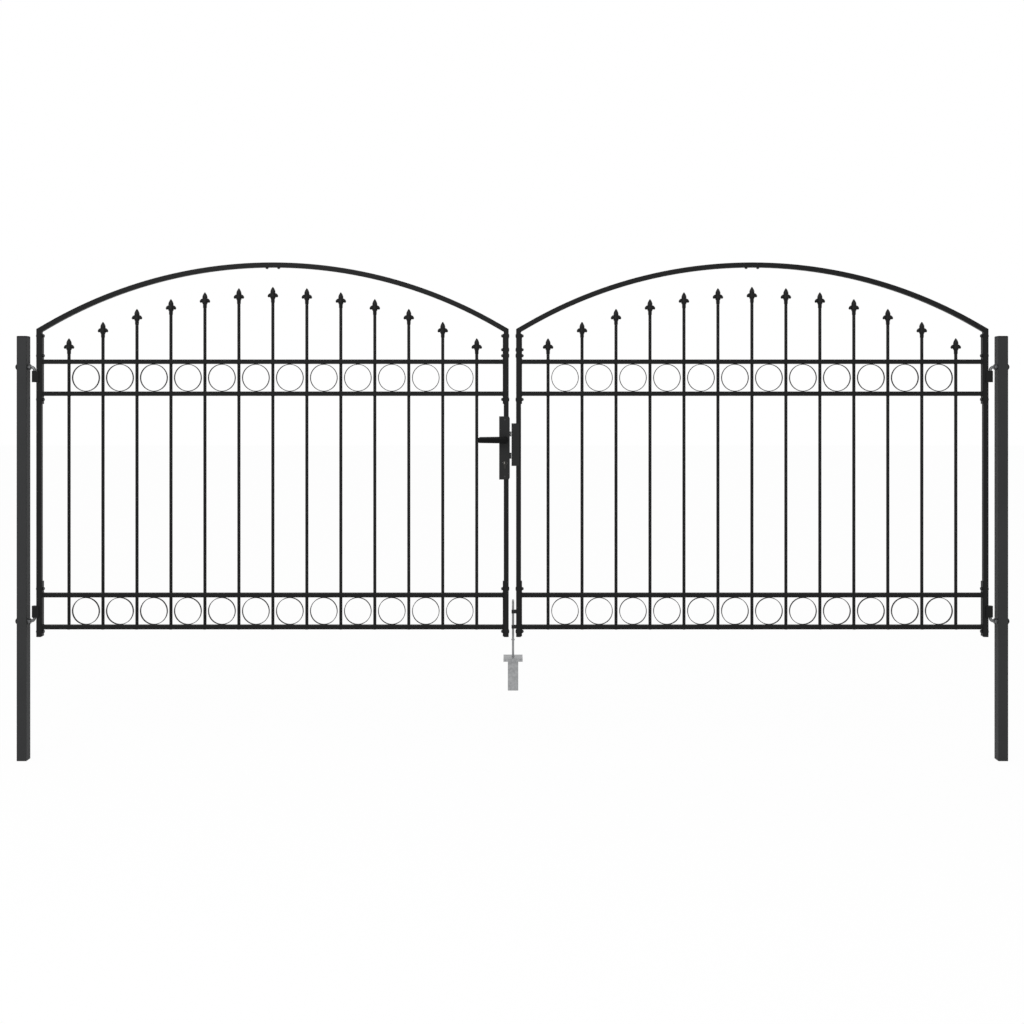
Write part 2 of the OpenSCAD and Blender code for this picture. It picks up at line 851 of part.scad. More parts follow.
module lock_cylinder() {
    length = 2 * (plate_face + key_proud);
    key_slot_w = 2;
    key_slot_h = key_stem_w;
    color(nickel_grey) on_left_leaf() difference() {
        flat_plate(length) key_outline(0);
        for (side = [-1, 1])
            translate([lever_x, side * length / 2, key_z])
                cube([key_slot_w, 2 * key_proud, key_slot_h], center = true);
    }
}

// One arm: a round root and a round tip, joined by straight flanks that run just inside both circles
module lever_arm() {
    root_r = lever_root_d / 2;
    tip_r = lever_tip_d / 2;
    tip_x = -lever_l + tip_r;
    flank_inset = 0.3;
    flank = acos((root_r - tip_r) / -tip_x);
    square_to_flank = [-cos(flank), sin(flank)];
    root_end = (root_r - flank_inset) * square_to_flank;
    tip_end = [tip_x, 0] + (tip_r - flank_inset) * square_to_flank;
    flat_plate(lever_t) {
        circle(r = root_r);
        translate([tip_x, 0]) circle(r = tip_r);
        polygon([root_end, tip_end, [tip_end.x, -tip_end.y], [root_end.x, -root_end.y]]);
    }
}

module lock_lever() {
    neck_y = plate_face + slide_gap;
    arm_y = neck_y + neck_l;
    color(plastic_black) on_left_leaf() translate([lever_x, 0, lever_z]) {
        across_y(2 * arm_y, spindle_d);
        for (side = [-1, 1]) {
            translate([0, side * (neck_y + neck_l / 2), 0]) across_y(neck_l, neck_d);
            translate([0, side * (arm_y + lever_t / 2), 0]) lever_arm();
        }
    }
}

// The latch bolt's nose is bevelled on the side that meets the keep as the leaf closes
module latch_bolt() {
    half_t = latch_t / 2;
    nose = latch_t / 5;
    color(zinc_grey) on_left_leaf() translate([0, 0, latch_z - latch_h / 2])
        linear_extrude(height = latch_h) polygon([
            [bolt_tail_x, -half_t], [bolt_tip_x - latch_bevel, -half_t],
            [bolt_tip_x, half_t - nose], [bolt_tip_x, half_t], [bolt_tail_x, half_t]
        ]);
}

module dead_bolt() {
    color(coat_black) on_left_leaf()
        translate([bolt_tail_x, -dead_t / 2, dead_z - dead_h / 2])
            cube([bolt_tip_x - bolt_tail_x, dead_t, dead_h]);
}

// The keep is a channel round the right leaf's stile, with a mouth for each bolt
module keep_mouth(z, height, thickness) {
    mouth_h = height + 2 * mouth_room_z;
    mouth_t = thickness + 2 * mouth_room_y;
    translate([leaf_half + keep_reach - keep_t - over, -mouth_t / 2, z - mouth_h / 2])
        cube([keep_t + 2 * over, mouth_t, mouth_h]);
}

module lock_keep() {
    cheek_x = leaf_half - keep_lap;
    color(coat_black) on_right_leaf() difference() {
        translate([cheek_x, -tube_half - keep_t, keep_z])
            cube([keep_lap + keep_reach, tube_w + 2 * keep_t, keep_l]);
        translate([cheek_x - over, -tube_half, keep_z - over])
            cube([keep_lap + keep_reach - keep_t + over, tube_w, keep_l + 2 * over]);
        keep_mouth(latch_z, latch_h, latch_t);
        keep_mouth(dead_z, dead_h, dead_t);
    }
}

// Drop bolt: two guides on the stile's side
module drop_bolt_guides() {
    bore_d = drop_d + 2 * slide_gap;
    outer_d = bore_d + 2 * guide_wall;
    color(coat_black) on_right_leaf()
        for (h = [lower_guide_h, upper_guide_h])
            translate([0, 0, leaf_foot + h - guide_h / 2]) difference() {
                union() {
                    translate([drop_x, 0, 0]) cylinder(h = guide_h, d = outer_d);
                    translate([leaf_half, -outer_d / 2, 0]) cube([drop_off, outer_d, guide_h]);
                }
                translate([drop_x, 0, -over]) cylinder(h = guide_h + 2 * over, d = bore_d);
            }
}

// The rod's head is bent to the back as a handle, and a ring on the rod stops it at the lower guide
module drop_bolt() {
    straight_l = drop_top_z - drop_bend_r - drop_tip_z;
    stop_z = leaf_foot - stop_drop - stop_h / 2;
    color(zinc_grey) on_right_leaf() translate([drop_x, 0, 0]) {
        translate([0, 0, drop_tip_z]) cylinder(h = straight_l, d = drop_d);
        translate([0, 0, stop_z]) difference() {
            cylinder(h = stop_h, d = stop_d);
            translate([0, 0, -over]) cylinder(h = stop_h + 2 * over, d = drop_d + 2 * pin_gap);
        }
        translate([0, 0, drop_top_z]) rotate([0, 0, -90]) mirror([0, 0, 1])
            translate([-drop_bend_r, 0, 0]) rod_bend(drop_bend_r, drop_d);
        translate([0, drop_bend_r, drop_top_z]) rotate([-90, 0, 0])
            cylinder(h = drop_handle_l - drop_bend_r, d = drop_d);
    }
}

// The ground socket: a square flange over a square tube
module ground_socket() {
    tube_in = socket_tube_w - 2 * socket_wall;
    tube_z = -socket_flange_t - socket_tube_l;
    color(zinc_grey) on_right_leaf() translate([drop_x, 0, post_buried]) difference() {
        union() {
            translate([0, 0, -socket_flange_t])
                block(socket_flange_w, socket_flange_w, socket_flange_t);
            translate([0, 0, tube_z]) block(socket_tube_w, socket_tube_w, socket_tube_l);
        }
        translate([0, 0, tube_z - over]) block(tube_in, tube_in, socket_tube_l + over);
        translate([0, 0, -socket_flange_t - over])
            block(socket_hole_w, socket_hole_w, socket_flange_t + 2 * over);
    }
}

left_post();
right_post();
post_caps();
left_hinge_pins();
right_hinge_pins();
hinge_nuts();
pin_caps();
ground_socket();
left_hinge_stile();
left_lock_stile();
left_arch_hinge_half();
left_arch_lock_half();
left_upper_rails();
left_lower_rails();
left_pickets();
left_spear_points();
left_upper_rings();
left_lower_rings();
left_end_plates();
left_hinge_eyes();
left_stile_plugs();
lock_case();
lock_front_plate();
lock_back_plate();
lock_cylinder();
lock_lever();
latch_bolt();
dead_bolt();
right_hinge_stile();
right_keep_stile();
right_arch_hinge_half();
right_arch_keep_half();
right_upper_rails();
right_lower_rails();
right_pickets();
right_spear_points();
right_upper_rings();
right_lower_rings();
right_end_plates();
right_hinge_eyes();
right_stile_plugs();
lock_keep();
drop_bolt_guides();
drop_bolt();
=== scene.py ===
# %% [markdown]
# This lesson dresses a double gate of black coated steel tube. The solids come from the packed
# frame, already in metres and in their places. Here they get their finishes, and the small things
# that a gate maker adds last: bolts, screws, weld beads, spear heads and a lever with soft edges.

# %% Load the frame
import math

import bmesh
import bpy
from mathutils import Matrix, Vector


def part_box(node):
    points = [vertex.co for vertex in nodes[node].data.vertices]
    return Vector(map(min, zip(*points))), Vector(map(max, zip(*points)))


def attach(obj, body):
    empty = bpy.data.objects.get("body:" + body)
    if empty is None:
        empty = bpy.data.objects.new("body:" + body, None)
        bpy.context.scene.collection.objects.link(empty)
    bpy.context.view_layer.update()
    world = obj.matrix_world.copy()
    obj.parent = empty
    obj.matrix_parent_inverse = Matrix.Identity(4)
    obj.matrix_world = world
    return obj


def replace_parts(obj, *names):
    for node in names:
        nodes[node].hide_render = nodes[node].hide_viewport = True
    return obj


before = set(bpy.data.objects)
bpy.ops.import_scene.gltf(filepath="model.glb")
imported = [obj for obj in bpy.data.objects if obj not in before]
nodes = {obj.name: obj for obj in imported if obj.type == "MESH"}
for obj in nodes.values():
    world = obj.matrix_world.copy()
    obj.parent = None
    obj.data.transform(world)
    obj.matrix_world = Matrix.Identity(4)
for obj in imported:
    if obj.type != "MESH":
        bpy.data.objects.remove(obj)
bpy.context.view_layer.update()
scene = bpy.context.scene

# %% [markdown]
# The photograph was taken square on, a little above the middle of the gate, and its frame was
# then cut so that the gate sits in its middle. A level camera with a vertical shift gives the same
# picture: tilting it instead would make the posts lean together.

# %% Camera
MM = 0.001
FRAME_SIDE = 1024
METRES_PER_PIXEL = 0.00405
SENSOR_W = 36
CAMERA_DISTANCE = 4.5
CAMERA_HEIGHT = 1.416
CAMERA_ASIDE = 1.6 * MM
FRAME_DROP = 102
gate_mid = (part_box("left_post")[0].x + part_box("right_post")[1].x) / 2

camera_data = bpy.data.cameras.new("square_on_camera")
camera_data.sensor_width = SENSOR_W
camera_data.lens = SENSOR_W * CAMERA_DISTANCE / (METRES_PER_PIXEL * FRAME_SIDE)
camera_data.shift_y = -FRAME_DROP / FRAME_SIDE
camera = bpy.data.objects.new("square_on_camera", camera_data)
camera.location = (gate_mid - CAMERA_ASIDE, -CAMERA_DISTANCE, CAMERA_HEIGHT)
camera.rotation_euler = (math.pi / 2, 0, 0)
scene.collection.objects.link(camera)
scene.camera = camera
print("camera: lens", round(camera_data.lens, 2), "mm at", tuple(camera.location))

# %% [markdown]
# Materials in Blender are graphs of nodes, and a sum of two values is a node of its own. Adding those
# by hand hides the thought behind a finish. This small class wraps one socket, so that a line such as
# 1 - mask * 0.5 adds the Math nodes for us, and one method adds any other kind of node.

# %% A socket that takes part in sums
class Signal:
    def __init__(self, socket):
        self.socket = socket
        self.tree = socket.id_data

    def make(self, kind, settings=None, sockets=None, out=0):
        node = self.tree.nodes.new(kind)
        for name, value in (settings or {}).items():
            setattr(node, name, value)
        for key, value in (sockets or {}).items():
            if isinstance(value, Signal):
                self.tree.links.new(value.socket, node.inputs[key])
            else:
                node.inputs[key].default_value = value
        return Signal(node.outputs[out])

    def feed(self, node, name):
        self.tree.links.new(self.socket, node.inputs[name])

    def math(self, operation, *values):
        return self.make("ShaderNodeMath", {"operation": operation}, dict(enumerate(values)))

    def __add__(self, other):
        return self.math("ADD", self, other)

    def __sub__(self, other):
        return self.math("SUBTRACT", self, other)

    def __rsub__(self, other):
        return self.math("SUBTRACT", other, self)

    def __mul__(self, other):
        return self.math("MULTIPLY", self, other)

    __radd__ = __add__
    __rmul__ = __mul__


print("signals: sums on sockets are ready")

# %% [markdown]
# A product picture has white all round, but white walls would also flood the gate with light. Light
# paths part the two: the camera and shiny surfaces see a white of strength 1, while the light that falls
# on the gate comes from a softer sky and one large lamp. The floor keeps some of its own shading, so
# the shadow at the foot of each post stays.

# %% Sky, lamp and floor
SKY_LIGHT = 0.72
LAMP_POWER = 110
LAMP_SIDES = (4.0, 2.5)
LAMP_LEFT = 1.6
LAMP_FRONT = 4.2
LAMP_HEIGHT = 4.2
LAMP_AIM_HEIGHT = 1.1
FLOOR_REACH = 40
FLOOR_COLOUR = (0.98, 0.98, 0.98, 1)
FLOOR_GLOW = 0.95


def seen_directly(tree):
    rays = tree.nodes.new("ShaderNodeLightPath").outputs
    camera_ray = Signal(rays["Is Camera Ray"])
    every = camera_ray + Signal(rays["Is Glossy Ray"]) + Signal(rays["Is Transmission Ray"])
    return every.math("MINIMUM", every, 1.0)


def white_shader(direct, kind, strength):
    return direct.make(kind, {}, {"Color": (1, 1, 1, 1), "Strength": strength})


world = bpy.data.worlds.new("studio_sky")
scene.world = world
world.use_nodes = True
world.node_tree.nodes.clear()
direct = seen_directly(world.node_tree)
sky = direct.make("ShaderNodeMixShader", {}, {
    0: direct,
    1: white_shader(direct, "ShaderNodeBackground", SKY_LIGHT),
    2: white_shader(direct, "ShaderNodeBackground", 1.0)})
sky.feed(world.node_tree.nodes.new("ShaderNodeOutputWorld"), "Surface")

lamp_data = bpy.data.lights.new("soft_box", "AREA")
lamp_data.shape = "RECTANGLE"
lamp_data.size, lamp_data.size_y = LAMP_SIDES
lamp_data.energy = LAMP_POWER
lamp = bpy.data.objects.new("soft_box", lamp_data)
lamp.location = (gate_mid - LAMP_LEFT, -LAMP_FRONT, LAMP_HEIGHT)
lamp_aim = Vector((gate_mid, 0, LAMP_AIM_HEIGHT)) - lamp.location
lamp.rotation_euler = lamp_aim.to_track_quat("-Z", "Y").to_euler()
scene.collection.objects.link(lamp)

floor_mesh = bpy.data.meshes.new("studio_floor")
floor_bm = bmesh.new()
bmesh.ops.create_grid(floor_bm, x_segments=1, y_segments=1, size=FLOOR_REACH,
                      matrix=Matrix.Translation((gate_mid, 0, 0)))
floor_bm.to_mesh(floor_mesh)
floor_bm.free()
floor = bpy.data.objects.new("studio_floor", floor_mesh)
scene.collection.objects.link(floor)

floor_white = bpy.data.materials.new("floor_white")
floor_white.use_nodes = True
floor_tree = floor_white.node_tree
floor_tree.nodes.clear()
direct = seen_directly(floor_tree)
floor_paint = direct.make("ShaderNodeBsdfDiffuse", {}, {"Color": FLOOR_COLOUR})
floor_skin = direct.make("ShaderNodeMixShader", {}, {
    0: direct * FLOOR_GLOW,
    1: floor_paint,
    2: white_shader(direct, "ShaderNodeEmission", 1.0)})
floor_skin.feed(floor_tree.nodes.new("ShaderNodeOutputMaterial"), "Surface")
floor_mesh.materials.append(floor_white)
scene.view_settings.view_transform = "Standard"
print("studio: sky, one soft box of", lamp_data.energy, "W and a floor")

# %% [markdown]
# Every finish starts the same way: a new material, its shader, and the place of each point on the
# object in metres. A noise with a scale of 900 then has grains about a millimetre across on every piece,
# however large the piece is.

# %% Start of a finish
COOL_TINT = (1.0, 1.02, 1.045)


def new_finish(name, rough, specular, metallic=0.0):
    material = bpy.data.materials.new(name)
    material.use_nodes = True
    shader = material.node_tree.nodes["Principled BSDF"]
    shader.inputs["Roughness"].default_value = rough
    shader.inputs["Specular IOR Level"].default_value = specular
    shader.inputs["Metallic"].default_value = metallic
    place = Signal(material.node_tree.nodes.new("ShaderNodeTexCoord").outputs["Object"])
    return material, shader, place


def noise(place, scale, detail=2.0):
    return place.make("ShaderNodeTexNoise", {}, {"Vector": place, "Scale": scale, "Detail": detail})


def blend_colours(factor, low, high):
    return factor.make("ShaderNodeMix", {"data_type": "RGBA"},
                       {0: factor, 6: (*low, 1), 7: (*high, 1)}, out=2)


def raise_surface(shader, height, distance, strength):
    height.make("ShaderNodeBump", {}, {
        "Height": height, "Distance": distance, "Strength": strength}).feed(shader, "Normal")


def tone(grey, share):
    return tuple(grey * share * channel for channel in COOL_TINT)


print("finishes: helpers are ready")

# %% [markdown]
# Powder coat is plastic dust melted on to the steel. Close up it has the skin of an orange, with
# soft dimples a few millimetres wide and a finer grain inside them, and over a metre its tone drifts a
# little. Faces that look up are lightened: partly dust that settles there, partly painted light that
# makes the tops brighter, as light from above would. Three noises of different scales give the skin,
# and the direction of the surface gives the dust and the painted top light.

# %% Powder coat
COAT_GREY = 0.0085
COAT_GLOSS = 0.13
COAT_ROUGH = 0.46
SKIN_DEPTH = 0.07 * MM
# colour of the up-facing tint: real dust, and painted light that brightens the tops
DUST_AND_TOP_LIGHT_COLOUR = (0.2, 0.195, 0.185, 1)
# painted shade: the near-black of the hairline gap at each arch joint
JOINT_SHADE_COLOUR = (0.004, 0.004, 0.004, 1)


def powder_coat(name, grey, rough=COAT_ROUGH, specular=COAT_GLOSS, seam=None):
    material, shader, place = new_finish(name, rough, specular)
    drift = noise(place, 5.0)
    dimples = noise(place, 420.0, 1.0)
    grain = noise(place, 1700.0, 2.0)
    shade = drift * 0.45 + dimples * 0.25 + grain * 0.3
    colour = blend_colours(shade, tone(grey, 0.62), tone(grey, 1.38))
    facing = place.make("ShaderNodeNewGeometry", {}, {}, out="Normal")
    upward = facing.make("ShaderNodeSeparateXYZ", {}, {0: facing}, out="Z")
    # faces that look up are lightened, partly dust and partly painted light on the tops
    dust_and_top_light = upward.math("MAXIMUM", upward, 0.0) * noise(place, 60.0, 4.0) * 0.16
    colour = dust_and_top_light.make("ShaderNodeMix", {"data_type": "RGBA"},
                       {0: dust_and_top_light, 6: colour, 7: DUST_AND_TOP_LIGHT_COLOUR}, out=2)
    height = dimples * 0.7 + grain * 0.3
    if seam:
        # painted shade of the hairline gap at the joint, with a bump groove under it
        line = seam(place)
        colour = line.make("ShaderNodeMix", {"data_type": "RGBA"},
                           {0: line * 0.85, 6: colour, 7: JOINT_SHADE_COLOUR}, out=2)
        height = height - line * 2.0
    colour.feed(shader, "Base Color")
    (rough + (dimples - 0.5) * 0.12 + (drift - 0.5) * 0.1 + dust_and_top_light).feed(shader, "Roughness")
    raise_surface(shader, height, SKIN_DEPTH, 0.6)
    return material


post_coat = powder_coat("post_coat", 0.033, 0.5, 0.1)
bar_coat = powder_coat("bar_coat", 0.8 * COAT_GREY)
lock_coat = powder_coat("lock_coat", 0.012, 0.42, 0.2)
print("coats:", post_coat.name, bar_coat.name, lock_coat.name)

# %% [markdown]
# The arch of each leaf is made in two halves that meet at the crown, and each half meets a short
# elbow welded to the stile. The joints show as hairlines, the shade inside a fine gap. A groove cut in
# the mesh would be thinner than a pixel, so the line is worked out in the finish: the gap's shade is
# painted near black where a point is within half a millimetre of a joint plane, and the bump sinks a
# small groove there.

# %% Frame coat with joint lines
ARCH_R = 1824 * MM
ELBOW_SIN = 0.5
JOINT_DARK = 0.3 * MM
JOINT_FADE = 0.8 * MM
leaf_arches = {"left": ("left_arch_hinge_half", "left_arch_lock_half"),
               "right": ("right_arch_keep_half", "right_arch_hinge_half")}


def leaf_middle(side):
    first, second = leaf_arches[side]
    return (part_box(first)[0].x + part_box(second)[1].x) / 2


def crown_height(side):
    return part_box(leaf_arches[side][0])[1].z


def joint_lines(side):
    middle, centre_z = leaf_middle(side), crown_height(side) - ARCH_R
    elbow_cos = math.sqrt(1 - ELBOW_SIN ** 2)

    def line(place):
        x = place.make("ShaderNodeSeparateXYZ", {}, {0: place}, out="X") - middle
        z = place.make("ShaderNodeSeparateXYZ", {}, {0: place}, out="Z") - centre_z
        across = x.math("ABSOLUTE", x)
        elbow = across * elbow_cos - z * ELBOW_SIN
        nearest = across.math("MINIMUM", across, elbow.math("ABSOLUTE", elbow))
        return nearest.make("ShaderNodeMapRange", {"interpolation_type": "SMOOTHSTEP"}, {
            "Value": nearest, "From Min": JOINT_DARK, "From Max": JOINT_FADE, "To Min": 1.0, "To Max": 0.0})

    return line


frame_coats = {side: powder_coat(side + "_frame_coat", COAT_GREY, seam=joint_lines(side))
               for side in ("left", "right")}
print("frame coats: crown lines at", [round(leaf_middle(side), 4) for side in frame_coats])

# %% [markdown]
# Caps and plugs are moulded in black plastic. The mould was spark eroded, which leaves a fine
# even grain with no direction, and the plastic is duller than the coat beside it.

# %% Moulded plastic
def moulded_plastic(name, grey, rough, scale, specular):
    material, shader, place = new_finish(name, rough, specular)
    pits = place.make("ShaderNodeTexVoronoi", {"feature": "SMOOTH_F1"}, {"Vector": place, "Scale": scale})
    clouds = noise(place, 30.0, 3.0)
    blend_colours(clouds * 0.7 + pits * 0.3, tone(grey, 0.7), tone(grey, 1.4)).feed(shader, "Base Color")
    (rough + (clouds - 0.5) * 0.14).feed(shader, "Roughness")
    raise_surface(shader, pits, 0.1 * MM, 0.6)
    return material


cap_plastic = moulded_plastic("cap_plastic", 0.004, 0.55, 1500.0, 0.08)
lever_satin = moulded_plastic("lever_satin", 0.003, 0.34, 2600.0, 0.08)
print("plastics:", cap_plastic.name, lever_satin.name)

# %% [markdown]
# Zinc freezes on hot steel in crystals, and each crystal mirrors the light its own way. A Voronoi
# pattern gives every cell one random tone, as the spangle does. Small parts are plated in a drum and
# have a finer spangle than the socket, which is dipped.

# %% Zinc
def spangled_zinc(name, dark, light, scale, rough, metallic=1.0):
    material, shader, place = new_finish(name, rough, 0.5, metallic)
    cells = place.make("ShaderNodeTexVoronoi", {"feature": "F1"},
                       {"Vector": place, "Scale": scale, "Randomness": 1.0}, out="Color")
    crystal = cells.make("ShaderNodeSeparateColor", {}, {0: cells}, out=0)
    stain = noise(place, 45.0, 4.0)
    fine = noise(place, 1300.0, 2.0)
    shade = crystal * 0.45 + stain * 0.4 + fine * 0.15
    blend_colours(shade, dark, light).feed(shader, "Base Color")
    (rough + crystal * 0.16 + (stain - 0.5) * 0.2).feed(shader, "Roughness")
    raise_surface(shader, fine * 0.6 + stain * 0.4, 0.08 * MM, 0.5)
    return material


dipped_zinc = spangled_zinc("dipped_zinc", (0.24, 0.245, 0.25), (0.46, 0.465, 0.47), 150.0, 0.4)
drum_zinc = spangled_zinc("drum_zinc", (0.1, 0.102, 0.105), (0.24, 0.243, 0.247), 420.0, 0.36)
rod_zinc = spangled_zinc("rod_zinc", (0.19, 0.194, 0.198), (0.39, 0.394, 0.398), 420.0, 0.42)
latch_zinc = spangled_zinc("latch_zinc", (0.64, 0.645, 0.65), (0.88, 0.885, 0.89), 420.0, 0.42, 0.4)
print("zinc:", dipped_zinc.name, drum_zinc.name, rod_zinc.name, latch_zinc.name)

# %% [markdown]
# The key cylinder is turned brass with a dark satin nickel skin. Its face keeps the fine marks of the
# turning tool. A noise that is stretched along one axis makes such marks: the Mapping node squeezes
# the place in one direction before the noise reads it.

# %% Satin nickel
def satin_nickel(name, dark, light):
    material, shader, place = new_finish(name, 0.3, 0.5, 1.0)
    squeezed = place.make("ShaderNodeMapping", {}, {"Vector": place, "Scale": (60.0, 60.0, 4000.0)})
    marks = noise(squeezed, 1.0, 2.0)
    haze = noise(place, 200.0, 3.0)
    blend_colours(marks * 0.6 + haze * 0.4, dark, light).feed(shader, "Base Color")
    (0.24 + marks * 0.14).feed(shader, "Roughness")
    raise_surface(shader, marks, 0.03 * MM, 0.4)
    return material


key_nickel = satin_nickel("key_nickel", (0.022, 0.0215, 0.021), (0.062, 0.061, 0.058))
# bright nickel for the keyway rib: a painted highlight on the left edge of the keyway
plug_nickel = satin_nickel("plug_nickel", (0.45, 0.43, 0.4), (0.66, 0.64, 0.6))
blackened = spangled_zinc("blackened_steel", (0.035, 0.035, 0.036), (0.075, 0.076, 0.078), 700.0, 0.36)
print("nickel and blackened steel:", key_nickel.name, blackened.name)

# %% [markdown]
# Each solid now gets its finish. The names of the nodes say what they are, so a list of names is
# enough. Arches and stiles take the coat with the joint lines, and everything else on a leaf is bar
# work with the plain coat.

# %% Finishes on the solids
finish_of = {
    "left_post": post_coat, "right_post": post_coat,
    "post_caps": cap_plastic, "pin_caps": cap_plastic,
    "left_stile_plugs": cap_plastic, "right_stile_plugs": cap_plastic,
    "left_hinge_pins": drum_zinc, "right_hinge_pins": drum_zinc, "hinge_nuts": drum_zinc,
    "latch_bolt": latch_zinc, "dead_bolt": blackened, "drop_bolt": rod_zinc,
    "ground_socket": dipped_zinc, "lock_cylinder": key_nickel, "lock_lever": lever_satin,
    "lock_case": lock_coat, "lock_front_plate": lock_coat, "lock_back_plate": lock_coat,
    "lock_keep": lock_coat, "drop_bolt_guides": lock_coat}
for name, node in nodes.items():
    side = name.split("_")[0]
    framing = "arch" in name or "stile" in name
    finish = finish_of.get(name, frame_coats[side] if framing else bar_coat)
    node.data.materials.clear()
    node.data.materials.append(finish)
print("finished solids:", len(nodes))

# %% [markdown]
# Small parts are made with a few shaping steps that come back again and again. A turned shape is a
# profile spun about an axis, as on a lathe. A six-sided nut is a short cone with equal ends. A turning
# matrix then stands the shape on any face: it takes the upward axis to the face's own direction. Trim
# that doesn't move is sunk a little into what carries it, so that no gap shows at its foot.

# %% Shaping helpers
SUNK = 0.3 * MM
MERGE_REACH = 0.002 * MM
SHARP_ANGLE = math.radians(34)


def in_mm(pairs):
    return [(first * MM, second * MM) for first, second in pairs]


def standing_on(point, direction):
    turn = Vector((0, 0, 1)).rotation_difference(Vector(direction)).to_matrix().to_4x4()
    return Matrix.Translation(point) @ turn


def turned(bm, profile, matrix, steps):
    centre, axis = matrix.translation, matrix.to_3x3() @ Vector((0, 0, 1))
    points = [bm.verts.new(matrix @ Vector((radius, 0, height))) for radius, height in profile]
    edges = [bm.edges.new(pair) for pair in zip(points, points[1:])]
    bmesh.ops.spin(bm, geom=points + edges, cent=centre, axis=axis,
                   angle=2 * math.pi, steps=steps, use_merge=True)


def soft_edges(bm, verts, offset, segments, least_angle=math.radians(30)):
    edges = {edge for vert in verts for edge in vert.link_edges
             if len(edge.link_faces) == 2 and edge.calc_face_angle() > least_angle}
    bmesh.ops.bevel(bm, geom=list(edges), offset=offset, segments=segments, profile=0.5,
                    affect="EDGES", material=-1)


def finished_piece(name, bm, finish, body):
    bmesh.ops.remove_doubles(bm, verts=bm.verts, dist=MERGE_REACH)
    bmesh.ops.recalc_face_normals(bm, faces=bm.faces)
    mesh = bpy.data.meshes.new(name)
    bm.to_mesh(mesh)
    bm.free()
    mesh.materials.append(finish)
    mesh.polygons.foreach_set("use_smooth", [True] * len(mesh.polygons))
    mesh.set_sharp_from_angle(angle=SHARP_ANGLE)
    piece = bpy.data.objects.new(name, mesh)
    scene.collection.objects.link(piece)
    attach(piece, body)
    print(name, "rides on", body, "with", len(mesh.polygons), "faces")
    return piece


print("shaping helpers are ready")

# %% [markdown]
# The leaves come flat in a box and are bolted together at home: every end plate is held to its
# stile by bolts that pass through both, with one more on the meeting stiles. Outside is a low round
# head, inside a washer and a nut with the rounded end of the bolt. The head is a turned profile, the nut
# a six-sided prism with its edges broken.

# %% Frame bolts through the stiles
leaf_stiles = {"left": ("left_hinge_stile", "left_lock_stile"),
               "right": ("right_keep_stile", "right_hinge_stile")}
PLATE_T = 4 * MM
HEAD_R = 8 * MM
HEAD_H = 2.6 * MM
BOLT_D = 7.2 * MM
UPPER_BOLT_DROPS = (8 * MM, 88 * MM)
MEETING_BOLT_DROP = 64 * MM
UPPER_BOLT_RISE = 18 * MM
LOWER_BOLT_DROP = 31 * MM
LOWER_BOLT_RISE = 18.5 * MM
MEETING_REACH = 100 * MM
HEAD_STEPS = 20
BOLT_END_STEPS = 12


def round_head(bm, matrix, radius, height):
    turned(bm, [(radius, -SUNK), (radius, 0.25 * height), (0.88 * radius, 0.62 * height),
                (0.58 * radius, 0.9 * height), (0, height)], matrix, HEAD_STEPS)


def washer_and_nut(bm, matrix, bolt_d):
    washer = [(bolt_d, -SUNK), (bolt_d, 0.14 * bolt_d), (0.5 * bolt_d, 0.18 * bolt_d)]
    turned(bm, washer, matrix, HEAD_STEPS)
    nut = bmesh.ops.create_cone(
        bm, cap_ends=True, segments=6, radius1=0.93 * bolt_d, radius2=0.93 * bolt_d, depth=0.6 * bolt_d,
        matrix=matrix @ Matrix.Translation((0, 0, 0.44 * bolt_d)))["verts"]
    soft_edges(bm, nut, 0.06 * bolt_d, 1)
    bolt_end = [(0.44 * bolt_d, 0.6 * bolt_d), (0.44 * bolt_d, 0.84 * bolt_d),
                (0.3 * bolt_d, 0.96 * bolt_d), (0, bolt_d)]
    turned(bm, bolt_end, matrix, BOLT_END_STEPS)


def bolt_heights(side):
    corners = nodes[side + "_end_plates"].data.vertices
    lower_foot, lower_top, upper_foot, upper_top = sorted({round(corner.co.z, 5) for corner in corners})
    upper = [upper_top - drop for drop in UPPER_BOLT_DROPS] + [upper_foot + UPPER_BOLT_RISE]
    return upper + [lower_top - LOWER_BOLT_DROP, lower_foot + LOWER_BOLT_RISE]


for side in ("left", "right"):
    bolts = bmesh.new()
    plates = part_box(side + "_end_plates")
    outer_faces = (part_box(leaf_stiles[side][0])[0].x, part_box(leaf_stiles[side][1])[1].x)
    inner_faces = (plates[0].x + PLATE_T, plates[1].x - PLATE_T)
    for outer, inner, out in zip(outer_faces, inner_faces, (-1, 1)):
        meeting = abs(outer - gate_mid) < MEETING_REACH
        for z in bolt_heights(side) + [plates[1].z - MEETING_BOLT_DROP] * meeting:
            round_head(bolts, standing_on((outer, 0, z), (out, 0, 0)), HEAD_R, HEAD_H)
            washer_and_nut(bolts, standing_on((inner, 0, z), (-out, 0, 0)), BOLT_D)
    finished_piece(side + "_frame_bolts", bolts, blackened, side + "_leaf")

# %% [markdown]
# A sleeve inside the tube joins the two halves of each arch, with one bolt on either side of the
# joint. Their heads are sunk into the upper face, so that nothing stands above the crown, and their
# nuts hang below the tube where the photograph shows them.

